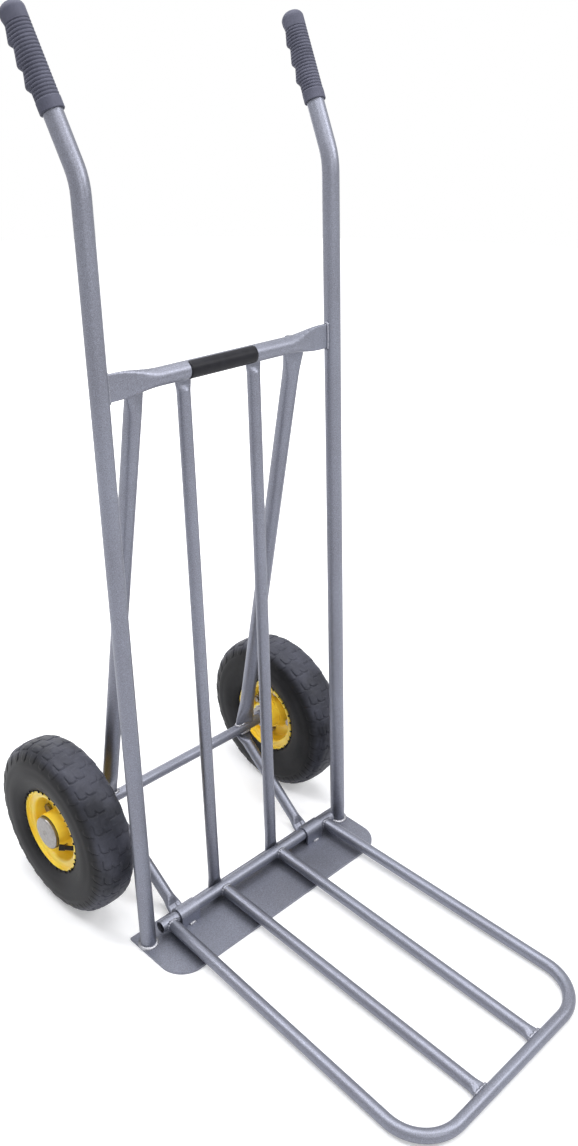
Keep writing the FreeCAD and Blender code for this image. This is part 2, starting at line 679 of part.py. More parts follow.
def casing_stations():
    """Half of the tyre's outer side, bead to crown, and half of its hollow, crown to bead."""
    half, crown, wall = size["tyre_width"] / 2, size["tyre_diameter"] / 2, size["tyre_wall"]
    base = seat + weld_gap
    bead = flange_wall - size["rim_sheet"] / 2 - weld_gap
    depth = crown - base
    heel = 1.5 * size["rim_sheet"]
    outside = [(bead - heel, base), (bead, base + heel), (bead, size["rim_radius"])]
    outside.append((0.80 * half, size["rim_radius"] + size["rim_sheet"]))
    outside += [(share * half, base + rise * depth) for share, rise in SIDEWALL]
    outside.append((0, crown))
    hollow = [
        (0, crown - 2 * wall),
        (0.45 * half, crown - 2.1 * wall),
        (0.8 * half - wall / 2, base + 0.7 * depth),
        (half - 1.3 * wall, base + 0.5 * depth),
        (0.9 * half - wall, base + 0.25 * depth),
        (bead - wall, base + wall),
        (bead - wall, base),
    ]
    return outside, hollow


def make_tyre(side):
    """Hollow casing seated on the rim, and the inner tube that fills it."""
    outside, hollow = casing_stations()
    casing = outside + mirrored_stations(outside[:-1]) + mirrored_stations(hollow) + hollow[1:]
    shape_node(f"{side}_tyre", ring_of(casing), wheel_placement(side))
    middle = (hollow[0][1] + seat) / 2

    def shrunk(amount):
        loop = mirrored_stations(hollow) + hollow[1:]
        shares = [1 - amount / math.hypot(a, r - middle) for a, r in loop]
        return [(a * share, middle + (r - middle) * share) for (a, r), share in zip(loop, shares)]

    tube = ring_of(shrunk(gap)).cut(ring_of(shrunk(gap + size["tube_wall"])))
    shape_node(f"{side}_inner_tube", tube, wheel_placement(side))


def bolt_spots(side):
    """Places of the rim bolts on their circle, the same on both wheels as seen from outside."""
    for step in range(RIM_BOLTS):
        angle = 2 * math.pi * step / RIM_BOLTS + math.radians(size["bolt_turn"])
        back = SIDES[side] * math.cos(angle)
        yield FreeCAD.Vector(0, back, math.sin(angle)) * (size["bolt_circle"] / 2)


def valve_line(side):
    """Root and tip of the valve stem, which leans outwards from the rim's barrel."""
    drop = math.radians(size["valve_drop"])
    way = FreeCAD.Vector(0, -SIDES[side] * math.cos(drop), -math.sin(drop))
    root = X * (VALVE_SHARE * flange_wall) + way * seat
    tip = X * (size["cap_face"] - size["cap_sheet"]) + way * (VALVE_SHARE * seat)
    return root, tip


def make_rims(side):
    """Two pressed halves, bolted together at the wheel's middle plane."""
    sheet = size["rim_sheet"]
    hub = hub_radius + weld_gap + sheet / 2
    disc = sheet / 2 + weld_gap / 2
    bolts_in = (size["bolt_circle"] - HEXAGON * size["bolt_diameter"]) / 2 - sheet
    stations = [(size["rim_half_width"], size["rim_radius"] - sheet / 2),
                (flange_wall, size["rim_radius"] - sheet), (flange_wall, seat - sheet / 2),
                (disc, seat - sheet / 2), (disc, bolts_in),
                (cap_mouth - 2 * sheet, hub + sheet / 2), (cap_mouth - weld_gap, hub)]
    root, tip = valve_line(side)
    valve_radius = size["valve_diameter"] / 2
    for half, way in (("outer", 1), ("inner", -1)):
        rim = spun_sheet(f"{side}_{half}_pressing", stations if way > 0 else [(-a, r) for a, r in stations],
                         sheet, 2 * sheet)
        holes = [(spot - X * 3 * sheet, X, size["bolt_diameter"] / 2 + 2 * weld_gap, 6 * sheet)
                 for spot in bolt_spots(side)]
        if way > 0:
            lean_in = (tip - root).normalize()
            holes.append((root - lean_in * 3 * sheet, lean_in, valve_radius + gap, 8 * sheet))
        finish(f"{side}_{half}_rim", drill(rim, holes), wheel_placement(side))


def make_rim_bolts(side):
    """Hexagon bolts through both rim halves, heads outside, and their nuts inside."""
    radius = size["bolt_diameter"] / 2
    sheet = size["rim_sheet"]
    face = sheet + weld_gap
    head, nut = 1.3 * radius, 1.6 * radius
    stub = 0.8 * radius

    def hexagon(centre, height):
        corners = [centre + (Y * math.cos(a) + Z * math.sin(a)) * (HEXAGON * radius)
                   for a in (math.pi * step / 3 for step in range(7))]
        return Part.Face(Part.makePolygon(corners)).extrude(X * height)

    bolts, nuts = [], []
    for spot in bolt_spots(side):
        shank = Part.makeCylinder(radius, 2 * face + nut + stub, spot + X * face, X * -1)
        bolts.append(shank.fuse(hexagon(spot + X * face, head)))
        hole = Part.makeCylinder(radius + weld_gap, nut, spot - X * face, X * -1)
        nuts.append(hexagon(spot - X * face, -nut).cut(hole))
    shape_node(f"{side}_rim_bolts", Part.makeCompound(bolts), wheel_placement(side))
    shape_node(f"{side}_rim_nuts", Part.makeCompound(nuts), wheel_placement(side))


def make_hub(side):
    """Hub sleeve, bored out at both ends for the ball bearings."""
    length = "(Sizes.hub_inboard + Sizes.hub_outboard)"
    outer = "Sizes.bearing_diameter / 2 + Sizes.hub_wall"
    seat_bore = "Sizes.bearing_diameter / 2 + Sizes.weld_gap / 2"
    shoulder = f"{seat_bore} - Sizes.hub_wall"
    inboard_seat, outboard_seat = "Sizes.bearing_width", f"{length} - Sizes.bearing_width"
    corners = [(outer, "0"), (outer, length), (seat_bore, length), (seat_bore, outboard_seat),
               (shoulder, outboard_seat), (shoulder, inboard_seat), (seat_bore, inboard_seat),
               (seat_bore, "0")]
    lay_on_axle(f"{side}_hub", side, turned_body(f"{side}_hub_sleeve", corners), hub_start)


def make_bearings(side):
    """Two ball bearings: the inner rings stay on the axle, the outer rings turn with the hub."""
    bore, outside = size["axle_diameter"] / 2 + size["axle_clearance"], size["bearing_diameter"] / 2
    ball = size["ball_diameter"] / 2
    width = size["bearing_width"]
    pitch = (bore + outside) / 2
    groove = Part.makeTorus(pitch, ball + 0.75 * gap, X * (width / 2), X)

    def ring(low, high):
        tube = Part.makeCylinder(high, width, FreeCAD.Vector(), X)
        return tube.cut([Part.makeCylinder(low, width, FreeCAD.Vector(), X), groove])

    balls = []
    for end, place in (("inboard", hub_start), ("outboard", hub_end - width)):
        spot = wheel_placement(side, place)
        shape_node(f"{side}_{end}_bearing_inner_ring", ring(bore, pitch - ball / 2), spot)
        shape_node(f"{side}_{end}_bearing_outer_ring", ring(pitch + ball / 2, outside), spot)
        for step in range(BALLS):
            angle = 2 * math.pi * step / BALLS
            centre = X * (place + width / 2) + (Y * math.cos(angle) + Z * math.sin(angle)) * pitch
            balls.append(Part.makeSphere(ball, centre))
    shape_node(f"{side}_bearing_balls", Part.makeCompound(balls), wheel_placement(side))


def make_dust_cap(side):
    """Pressed cap over the outboard end of the hub and the axle."""
    sheet = size["cap_sheet"]
    radius = hub_radius + weld_gap + sheet / 2
    face = size["cap_face"] - sheet / 2
    cap = spun_sheet(f"{side}_cap", [(cap_mouth, radius), (face, radius), (face, 0)], sheet, 2 * sheet)
    finish(f"{side}_dust_cap", cap, wheel_placement(side))


def make_valve(side):
    """Rubber valve stem and its screw cap."""
    root, tip = valve_line(side)
    way = (tip - root).normalize()
    radius = size["valve_diameter"] / 2
    cap_length = 2.6 * radius
    cover = cap_length - radius * 0.6
    start = root + way * (1.25 * radius)
    stem = Part.makeCylinder(radius, (tip - start).Length - cap_length + cover - weld_gap, start, way)
    cap_start = tip - way * cap_length
    cap = Part.makeCylinder(radius * 1.35, cap_length, cap_start, way)
    cap = cap.cut(Part.makeCylinder(radius + weld_gap, cover, cap_start, way))
    shape_node(f"{side}_valve_stem", stem, wheel_placement(side))
    shape_node(f"{side}_valve_cap", cap, wheel_placement(side))


# ---------------------------------------------------------------- the whole truck

def build():
    make_plate()
    make_crossbar()
    make_axle()
    make_hinge_tube()
    make_foot_frame()
    for side in SIDES:
        make_rail(side)
        make_grip(side)
        make_slat(side)
        make_brace(side)
        make_strut(side)
        make_strap(side)
        make_foot_bar(side)
        make_axle_fittings(side)
        make_tyre(side)
        make_rims(side)
        make_rim_bolts(side)
        make_hub(side)
        make_bearings(side)
        make_dust_cap(side)
        make_valve(side)


def check():
    """Stops before anything is written if a feature failed or a shape is bad."""
    doc.recompute()
    failed = [o.Label for o in doc.Objects if {"Invalid", "Error"} & set(o.State)]
    bad = [o.Label for o in nodes if o.Shape.isNull() or not o.Shape.isValid() or not o.Shape.Solids]
    if failed or bad:
        raise RuntimeError(f"failed features: {failed}; bad shapes: {bad}")


build()
check()
os.makedirs("parts", exist_ok=True)
for node in nodes:
    node.Shape.exportStep(f"parts/{node.Label}.step")
    print(f"{node.Label:36s} {len(node.Shape.Solids):3d} solids {node.Shape.Volume / 1000:9.2f} cm3")
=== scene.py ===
"""Looks of the two-wheeled hand truck: tread, grips, welds, label, materials, lights and camera.

Metres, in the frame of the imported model: +Z up, -Y to the front, +X to the left of a person who
stands behind the handles. The right wheel and rail are the ones at -X.
"""
import json
import math
import random

import bpy
from mathutils import Matrix, Vector


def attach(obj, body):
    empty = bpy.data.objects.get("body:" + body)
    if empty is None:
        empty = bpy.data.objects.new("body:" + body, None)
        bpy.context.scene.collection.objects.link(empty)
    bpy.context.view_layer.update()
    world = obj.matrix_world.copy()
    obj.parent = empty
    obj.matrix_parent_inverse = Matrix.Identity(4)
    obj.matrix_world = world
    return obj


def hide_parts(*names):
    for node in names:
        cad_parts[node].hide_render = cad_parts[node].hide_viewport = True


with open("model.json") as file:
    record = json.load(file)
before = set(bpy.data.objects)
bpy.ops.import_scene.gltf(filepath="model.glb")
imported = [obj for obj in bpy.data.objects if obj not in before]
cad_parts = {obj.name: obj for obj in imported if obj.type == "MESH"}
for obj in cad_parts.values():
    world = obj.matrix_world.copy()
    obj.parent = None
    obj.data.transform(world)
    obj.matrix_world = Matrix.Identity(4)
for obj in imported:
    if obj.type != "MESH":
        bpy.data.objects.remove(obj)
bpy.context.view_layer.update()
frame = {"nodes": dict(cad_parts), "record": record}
nodes = frame["nodes"]

MM = 0.001
SIDES = {"right": -1, "left": 1}
X, Y, Z = Vector((1, 0, 0)), Vector((0, 1, 0)), Vector((0, 0, 1))

# ---------------------------------------------------------------- sizes shared with the CAD model

RAIL_RADIUS = 11.25 * MM
THIN_RADIUS = 8.75 * MM
AXLE_RADIUS = 8.5 * MM
PLATE_TOP = 4 * MM
FOOT_LINE = 95.625 * MM                     # Y of the rail feet
LEAN = math.radians(3.4)
SPLAY = math.radians(0.32)
BEND = math.radians(24.5)
TWIST = math.radians(9.7)
RAIL_X = 197 * MM
RAIL_LENGTH = 1014 * MM
GRIP_START = 72.5 * MM
GRIP_LENGTH = 113.7 * MM
GRIP_RADIUS = 13.45 * MM
CROSSBAR_ALONG = 792 * MM
AXLE_Y = FOOT_LINE + 161.5 * MM
AXLE_Z = 130 * MM
WHEEL_X = 213.3 * MM
TYRE_HALF = 35.5 * MM
CROWN = 130 * MM
TYRE_SEAT = 50.1 * MM
HINGE = Vector((0, FOOT_LINE - 1.5 * MM, 19.5 * MM))
FOOT_RUN = 472.5 * MM
FOOT_SLOPE = math.asin((HINGE.z - THIN_RADIUS) / FOOT_RUN)
SIDE_BAR_X = 159.5 * MM
INNER_BAR_X = 57.8 * MM
SLAT_X = 58.7 * MM


def rail_plane(x, along, setback):
    """A point a way up the leaning plane of the rails, and set back behind it."""
    back = along * math.sin(LEAN) + setback * math.cos(LEAN)
    up = PLATE_TOP + along * math.cos(LEAN) - setback * math.sin(LEAN)
    return Vector((x, FOOT_LINE + back, up))


def placed(origin, z_axis, x_axis=X):
    """A matrix with its origin at a point, its Z along one axis and its X near another."""
    z = Vector(z_axis).normalized()
    y = z.cross(Vector(x_axis)).normalized()
    x = y.cross(z)
    return Matrix.Translation(origin) @ Matrix((x, y, z)).transposed().to_4x4()


# ---------------------------------------------------------------- materials

def srgb(red, green, blue):
    """A colour given as it looks on a screen, 0 to 255, in linear values."""
    def linear(c):
        c /= 255
        return c / 12.92 if c <= 0.04045 else ((c + 0.055) / 1.055) ** 2.4
    return linear(red), linear(green), linear(blue), 1


class Surface:
    """A Principled material with noise in its colour, roughness and bump."""

    def __init__(self, name, metallic=0.0, specular=0.5, coat=0.0):
        self.material = bpy.data.materials.new(name)
        self.material.use_nodes = True
        self.tree = self.material.node_tree
        self.shader = self.tree.nodes["Principled BSDF"]
        self.shader.inputs["Metallic"].default_value = metallic
        self.shader.inputs["Specular IOR Level"].default_value = specular
        self.shader.inputs["Coat Weight"].default_value = coat
        self.place = self.tree.nodes.new("ShaderNodeTexCoord").outputs["Object"]
        self.height = None

    def noise(self, scale, detail=4.0, rough=0.5, stretch=(1, 1, 1)):
        """A noise field in object space, with features about 1 / scale metres across."""
        mapping = self.tree.nodes.new("ShaderNodeMapping")
        mapping.inputs["Scale"].default_value = stretch
        node = self.tree.nodes.new("ShaderNodeTexNoise")
        node.inputs["Scale"].default_value = scale
        node.inputs["Detail"].default_value = detail
        node.inputs["Roughness"].default_value = rough
        self.tree.links.new(self.place, mapping.inputs["Vector"])
        self.tree.links.new(mapping.outputs["Vector"], node.inputs["Vector"])
        return node.outputs["Fac"]

    def ramp(self, field, stops):
        """Colours at places along a field."""
        node = self.tree.nodes.new("ShaderNodeValToRGB")
        while len(node.color_ramp.elements) < len(stops):
            node.color_ramp.elements.new(0.5)
        for element, (place, colour) in zip(node.color_ramp.elements, stops):
            element.position = place
            element.color = colour if len(colour) == 4 else (*colour, 1)
        self.tree.links.new(field, node.inputs["Fac"])
        return node.outputs["Color"]

    def mix(self, field, a, b):
        """Goes from colour a to colour b with a field; either may be a socket."""
        node = self.tree.nodes.new("ShaderNodeMix")
        node.data_type = "RGBA"
        self.tree.links.new(field, node.inputs["Factor"])
        for socket, colour in ((node.inputs["A"], a), (node.inputs["B"], b)):
            if isinstance(colour, tuple):
                socket.default_value = colour
            else:
                self.tree.links.new(colour, socket)
        return node.outputs["Result"]

    def colour(self, socket):
        self.tree.links.new(socket, self.shader.inputs["Base Color"])
        return self

    def roughness(self, field, low, high):
        node = self.tree.nodes.new("ShaderNodeMapRange")
        node.inputs["To Min"].default_value = low
        node.inputs["To Max"].default_value = high
        self.tree.links.new(field, node.inputs["Value"])
        self.tree.links.new(node.outputs["Result"], self.shader.inputs["Roughness"])
        return self

    def bump(self, field, strength, distance):
        """Adds a bump of a height in metres on top of the earlier ones."""
        node = self.tree.nodes.new("ShaderNodeBump")
        node.inputs["Strength"].default_value = strength
        node.inputs["Distance"].default_value = distance
        self.tree.links.new(field, node.inputs["Height"])
        if self.height is not None:
            self.tree.links.new(self.height, node.inputs["Normal"])
        self.height = node.outputs["Normal"]
        self.tree.links.new(self.height, self.shader.inputs["Normal"])
        return self


def paint_material(name, light, dark, metallic=0.8, low=0.4, high=0.48):
    """Satin metallic paint: visible flake, slow drift in tone and a trace of orange peel."""
    s = Surface(name, metallic=metallic, specular=0.5)
    tone = s.ramp(s.noise(9, 3, 0.5), [(0.3, dark), (0.7, light)])
    bright = tuple(min(1.35 * c, 1) for c in light[:3])
    dull = tuple(0.72 * c for c in dark[:3])
    speck = s.ramp(s.noise(900, 2, 0.7), [(0.36, dull), (0.64, bright)])
    s.colour(s.mix(s.noise(240, 3, 0.6), tone, speck))
    s.roughness(s.noise(45, 4, 0.6), low, high)
    s.bump(s.noise(420, 2, 0.4), 0.12, 0.00025)
    return s.material


frame_paint = paint_material("frame_paint", srgb(126, 129, 141), srgb(113, 114, 124))
weld_paint = paint_material("weld_paint", srgb(146, 148, 158), srgb(116, 117, 126), 0.8, 0.34, 0.44)
# a lighter weld colour, for the beads at the rail feet, brace feet, strut tops and hinge straps
pale_weld = paint_material("pale_weld", srgb(184, 185, 191), srgb(128, 127, 133), 0.7, 0.24, 0.42)

rim_paint = Surface("rim_yellow", metallic=0.0, specular=0.4, coat=0.2)
rim_paint.colour(rim_paint.ramp(rim_paint.noise(30, 4, 0.55),
                                [(0.3, srgb(255, 212, 56)), (0.7, srgb(255, 232, 92))]))
rim_paint.roughness(rim_paint.noise(120, 3, 0.5), 0.26, 0.4)
rim_paint.bump(rim_paint.noise(350, 2, 0.4), 0.12, 0.0003)


def rubber_material(name, dark, light, scale, low=0.5, high=0.68, specular=0.2):
    """Moulded rubber with a dusty bloom that drifts at random across it."""
    s = Surface(name, metallic=0.0, specular=specular)
    s.colour(s.ramp(s.noise(scale, 5, 0.6), [(0.35, dark), (0.68, light)]))
    s.roughness(s.noise(scale * 2, 4, 0.6), low, high)
    s.bump(s.noise(1500, 2, 0.6), 0.18, 0.00025)
    return s.material


def tyre_material():
    """Black rubber; the crown is painted paler and bluer than the walls, a painted highlight for the light on the
    tread.
    """
    s = Surface("tyre_rubber", metallic=0.0, specular=0.14)
    mapping = s.tree.nodes.new("ShaderNodeMapping")
    mapping.inputs["Location"].default_value = (0, -AXLE_Y, -AXLE_Z)
    mapping.inputs["Scale"].default_value = (0, 1, 1)
    radius = s.tree.nodes.new("ShaderNodeVectorMath")
    radius.operation = "LENGTH"
    crown = s.tree.nodes.new("ShaderNodeMapRange")
    crown.interpolation_type = "SMOOTHSTEP"
    crown.inputs["From Min"].default_value, crown.inputs["From Max"].default_value = 113 * MM, 124 * MM
    s.tree.links.new(s.place, mapping.inputs["Vector"])
    s.tree.links.new(mapping.outputs["Vector"], radius.inputs[0])
    s.tree.links.new(radius.outputs["Value"], crown.inputs["Value"])
    cloud = s.noise(22, 5, 0.6)
    wall = s.ramp(cloud, [(0.35, srgb(22, 22, 24)), (0.68, srgb(38, 38, 41))])
    # painted light: the crown's paler, bluer colour is a painted highlight that stands in for the light on the
    # tread
    painted_crown_light = s.ramp(cloud, [(0.35, srgb(46, 47, 53)), (0.68, srgb(74, 75, 85))])
    s.colour(s.mix(crown.outputs["Result"], wall, painted_crown_light))
    s.roughness(s.noise(44, 4, 0.6), 0.4, 0.56)
    s.bump(s.noise(1500, 2, 0.6), 0.18, 0.00025)
    return s.material


tyre_rubber = tyre_material()
black_rubber = rubber_material("black_rubber", srgb(22, 20, 20), srgb(32, 29, 28), 60)
grip_rubber = rubber_material("grip_rubber", srgb(74, 75, 88), srgb(88, 89, 103), 40, 0.55, 0.72, 0.15)


def steel_material(name, light, dark, low, high, scale=220):
    """Plated or ground steel with a fine cloudy tone."""
    s = Surface(name, metallic=0.95, specular=0.5)
    s.colour(s.ramp(s.noise(scale, 4, 0.6), [(0.3, dark), (0.7, light)]))
    s.roughness(s.noise(scale * 0.6, 4, 0.6), low, high)
    s.bump(s.noise(900, 3, 0.5), 0.1, 0.0002)
    return s.material


zinc = steel_material("zinc", srgb(150, 147, 145), srgb(124, 121, 120), 0.24, 0.38)
bearing_steel = steel_material("bearing_steel", srgb(178, 178, 182), srgb(150, 150, 154), 0.2, 0.35)

label_surface = Surface("label_film", metallic=0.0, specular=0.12)
label_surface.colour(label_surface.ramp(label_surface.noise(80, 3, 0.5),
                                        [(0.3, srgb(27, 27, 31)), (0.7, srgb(36, 36, 41))]))
label_surface.roughness(label_surface.noise(160, 3, 0.5), 0.34, 0.5)
label_surface.bump(label_surface.noise(900, 2, 0.5), 0.08, 0.0002)

MATERIALS = {
    "frame_paint": frame_paint,
    "rim_yellow": rim_paint.material,
    "tyre_rubber": tyre_rubber,
    "black_rubber": black_rubber,
    "grip_rubber": grip_rubber,
    "zinc": zinc,
    "bearing_steel": bearing_steel,
    "label": label_surface.material,
}

slot_of = {part["node"]: part["material_slot"] for part in frame["record"]["subparts"]}
for name, node in nodes.items():
    node.data.materials.clear()
    node.data.materials.append(MATERIALS[slot_of[name]])


# ---------------------------------------------------------------- making a piece

def add_mesh(name, verts, faces, body, material, smooth=True, matrix=None):
    """A mesh piece in the row frame that rides on a body."""
    mesh = bpy.data.meshes.new(name)
    if matrix is not None:
        verts = [matrix @ Vector(v) for v in verts]
    mesh.from_pydata([tuple(v) for v in verts], [], faces)
    mesh.validate()
    mesh.materials.append(material)
    mesh.polygons.foreach_set("use_smooth", [smooth] * len(mesh.polygons))
    mesh.update()
    piece = bpy.data.objects.new(name, mesh)
    bpy.context.scene.collection.objects.link(piece)
    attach(piece, body)
    return piece


def grid_faces(rows, columns, wrap_rows=False, wrap_columns=False):
    """Quads over a grid of points stored row by row."""
    faces = []
    for i in range(rows if wrap_rows else rows - 1):
        for j in range(columns if wrap_columns else columns - 1):
            a, b = i * columns, ((i + 1) % rows) * columns
            k = (j + 1) % columns
            faces.append((a + j, a + k, b + k, b + j))
    return faces


def smooth_line(points, steps):
    """Points on a Catmull-Rom curve through a list of points."""
    line = []
    for i in range(len(points) - 1):
        p0 = points[max(i - 1, 0)]
        p1, p2 = points[i], points[i + 1]
        p3 = points[min(i + 2, len(points) - 1)]
        for step in range(steps):
            t = step / steps
            line.append(tuple(
                0.5 * (2 * b + (c - a) * t + (2 * a - 5 * b + 4 * c - d) * t * t + (3 * b - a - 3 * c + d) * t ** 3)
                for a, b, c, d in zip(p0, p1, p2, p3)))
    line.append(tuple(points[-1]))
    return line


def smoothstep(low, high, value):
    """A smooth rise from 0 to 1 between two values."""
    t = min(max((value - low) / (high - low), 0), 1)
    return t * t * (3 - 2 * t)


def groove(distance, width):
    """1 in the middle of a groove and 0 outside it."""
    return 1 - smoothstep(width * 0.32, width * 0.62, abs(distance))


# ---------------------------------------------------------------- welds

def bead_piece(name, body, line, minor, seed, closed=True, top=None, matrix=None, pale_bead=False):
    """A weld bead along a line of (point, outward, up) places, lumpy as laid by hand.

    A pale bead takes a lighter colour than the others. No part of it stands above top, a height in the line's
    frame.
    """
    rng = random.Random(seed)
    around = 10
    count = len(line)
    lumps = max(4, round(sum((line[i][0] - line[i - 1][0]).length for i in range(1, count)) / (3.2 * MM)))
    phase = rng.random() * 6.28
    verts = []
    for i, (point, outward, up) in enumerate(line):
        share = i / count if closed else i / (count - 1)
        ripple = 1 + 0.2 * math.sin(2 * math.pi * lumps * share + phase) + rng.uniform(-0.12, 0.12)
        taper = 1 if closed else math.sqrt(max(1 - (2 * share - 1) ** 6, 0.02))
        radius = minor * ripple * taper
        for k in range(around):
            angle = 2 * math.pi * k / around
            reach = outward * (math.cos(angle) * radius) + up * (math.sin(angle) * radius)
            place = point + reach
            if top is not None:
                place.z = min(place.z, top)
            verts.append(place)
    faces = grid_faces(count, around, wrap_rows=closed, wrap_columns=True)
    if not closed:
        faces.append(tuple(range(around - 1, -1, -1)))
        faces.append(tuple((count - 1) * around + k for k in range(around)))
    material = pale_weld if pale_bead else weld_paint
    return add_mesh(name, verts, faces, body, material, matrix=matrix)


def ring_line(radius, half=0.0, count=60, squeeze=1.0):
    """A stadium about the origin in the XY plane: two straights of 2 x half along X."""
    line = []
    for i in range(count):
        angle = 2 * math.pi * i / count
        outward = Vector((math.cos(angle), math.sin(angle), 0))
        shift = half * max(-1, min(1, 2.2 * math.cos(angle)))
        line.append((Vector((outward.x * radius + shift, outward.y * radius * squeeze, 0)), outward, Z))
    return line


def straight_line(start, end, outward, up, count=26):
    """Places for a bead from one point to another."""
    return [(start.lerp(end, i / (count - 1)), outward, up) for i in range(count)]


rail_axis = {side: Vector((-sign * math.tan(SPLAY), math.sin(LEAN), math.cos(LEAN))).normalized()
             for side, sign in SIDES.items()}

for side, sign in SIDES.items():
    # rail on the toe plate
    foot = Vector((sign * RAIL_X, FOOT_LINE, PLATE_TOP + 0.5 * MM))
    bead_piece(f"{side}_rail_foot_weld", "frame", ring_line(RAIL_RADIUS + 0.6 * MM), 2.9 * MM, 3 + sign,
               matrix=Matrix.Translation(foot), pale_bead=True)
    # crossbar's blade on the rail
    reach = RAIL_X - CROSSBAR_ALONG * math.tan(SPLAY) - RAIL_RADIUS
    end = rail_plane(sign * (reach - 0.4 * MM), CROSSBAR_ALONG, 0)
    bead_piece(f"{side}_crossbar_weld", "frame", ring_line(2.6 * MM, 14.6 * MM), 1.8 * MM, 11 + sign,
               matrix=placed(end, X, rail_axis[side]))
    # slat on the plate and behind the crossbar
    foot = rail_plane(sign * SLAT_X, 0.5 * MM, 14.9 * MM)
    foot.z = PLATE_TOP + 0.4 * MM
    bead_piece(f"{side}_slat_foot_weld", "frame", ring_line(3.5 * MM, 8.2 * MM), 1.6 * MM, 17 + sign,
               matrix=Matrix.Translation(foot))
    for edge in (-1, 1):
        x = sign * SLAT_X + edge * 11.6 * MM
        low = rail_plane(x, CROSSBAR_ALONG - 5 * MM, 11.0 * MM)
        high = rail_plane(x, CROSSBAR_ALONG + 5 * MM, 11.0 * MM)
        bead_piece(f"{side}_slat_top_weld_{edge + 1}", "frame",
                   straight_line(low, high, X, Y), 1.5 * MM, 23 + edge + 5 * sign, closed=False)

for side, sign in SIDES.items():
    # brace on the axle
    brace_foot = Vector((sign * 137.5 * MM, AXLE_Y, AXLE_Z + AXLE_RADIUS + 0.3 * MM))
    brace_way = (rail_plane(sign * 132.8 * MM, CROSSBAR_ALONG, 12 * MM) - brace_foot).normalized()
    bead_piece(f"{side}_brace_foot_weld", "frame", ring_line(3.4 * MM, 12.4 * MM), 2.4 * MM, 31 + sign,
               matrix=placed(brace_foot, brace_way), pale_bead=True)
    # strut under the axle and on the plate
    for edge in (-1, 1):
        start = Vector((sign * 136 * MM - 11 * MM, AXLE_Y + edge * 6.6 * MM, AXLE_Z - 6.4 * MM))
        bead_piece(f"{side}_strut_top_weld_{edge + 1}", "frame",
                   straight_line(start, start + X * 22 * MM, Y, Z), 1.9 * MM, 41 + edge + 5 * sign,
                   closed=False, pale_bead=True)
    strut_foot = Vector((sign * 130.2 * MM, FOOT_LINE + 16 * MM, PLATE_TOP + 0.6 * MM))
    bead_piece(f"{side}_strut_foot_weld", "frame", ring_line(3.2 * MM, 8.6 * MM), 1.8 * MM, 53 + sign,
               matrix=Matrix.Translation(strut_foot))
    # brace behind the crossbar: along the top edge of its blade
    top = rail_plane(sign * 132.8 * MM, CROSSBAR_ALONG + 6.5 * MM, 9.2 * MM)
    bead_piece(f"{side}_brace_top_weld", "frame",
               straight_line(top - X * 14 * MM, top + X * 14 * MM, Y, Z), 1.6 * MM, 61 + sign, closed=False)
    # hinge straps on the plate
    for count, (shift, edge) in enumerate(((2, -1), (-8, 1), (9, 1))):
        y = HINGE.y + edge * 12.9 * MM
        start = Vector((sign * 129 * MM + (shift - 5.5) * MM, y, PLATE_TOP + 0.5 * MM))
        bead_piece(f"{side}_strap_weld_{count}", "frame",
                   straight_line(start, start + X * 11 * MM, Y, Z), 2.3 * MM, 71 + count + 5 * sign,
                   closed=False, pale_bead=True)

# foot's bars on the hinge tube and on the front bar
foot_matrix = Matrix.Translation(HINGE) @ Matrix.Rotation(FOOT_SLOPE, 4, "X")
BAR_TOP = THIN_RADIUS + 0.15 * MM
for side, sign in SIDES.items():
    for name, x, sunk in (("side_bar", SIDE_BAR_X, 0.3), ("inner_bar", INNER_BAR_X, 0.9)):
        at_hinge = [(Vector((p.x, 0, p.y)), Vector((o.x, 0, o.y)), -Y)
                    for p, o, _ in ring_line(THIN_RADIUS - sunk * MM)]
        shift = Matrix.Translation((sign * x, -THIN_RADIUS + 0.6 * MM, 0))
        bead_piece(f"{side}_{name}_weld", "folding_foot",
                   [(shift @ p, o, u) for p, o, u in at_hinge], 2.1 * MM, 83 + sign + round(x * 1000),
                   top=BAR_TOP, matrix=foot_matrix)
    at_front = [(Vector((sign * INNER_BAR_X + p.x, -FOOT_RUN + THIN_RADIUS - 0.2 * MM, p.y)),
                 Vector((o.x, 0, o.y)), -Y) for p, o, _ in ring_line(4.4 * MM, 6.6 * MM)]
    bead_piece(f"{side}_front_bar_weld", "folding_foot", at_front, 2.0 * MM, 97 + sign,
               top=BAR_TOP, matrix=foot_matrix)


# ---------------------------------------------------------------- label on the crossbar

def make_label():
    """A blank film wrapped round the front and top of the crossbar."""
    x0, x1 = -65 * MM, 44 * MM
    inner, outer = RAIL_RADIUS + 0.05 * MM, RAIL_RADIUS + 0.45 * MM
    low, high = math.radians(-72), math.radians(78)
    columns, rows = 30, 18
    corner = 2.2 * MM
    verts = []
    for radius in (inner, outer):
        for i in range(rows):
            angle = low + (high - low) * i / (rows - 1)
            edge_gap = min(i, rows - 1 - i) / (rows - 1) * (high - low) * RAIL_RADIUS
            trim = corner - math.sqrt(max(corner ** 2 - max(corner - edge_gap, 0) ** 2, 0))
            for j in range(columns):
                x = x0 + trim + (x1 - x0 - 2 * trim) * j / (columns - 1)
                verts.append(Vector((x, -radius * math.cos(angle), radius * math.sin(angle))))
    layer = rows * columns
    faces = [tuple(reversed(f)) for f in grid_faces(rows, columns)]
    faces += [tuple(layer + k for k in f) for f in grid_faces(rows, columns)]
    rim = [j for j in range(columns)] + [i * columns + columns - 1 for i in range(1, rows)]
    rim += [(rows - 1) * columns + j for j in range(columns - 2, -1, -1)]
    rim += [i * columns for i in range(rows - 2, 0, -1)]
    faces += [(a, b, b + layer, a + layer) for a, b in zip(rim, rim[1:] + rim[:1])]
    centre = rail_plane(0, CROSSBAR_ALONG, 0)
    add_mesh("crossbar_label", verts, faces, "frame", MATERIALS["label"],
             matrix=Matrix.Translation(centre))


make_label()


# ---------------------------------------------------------------- grips

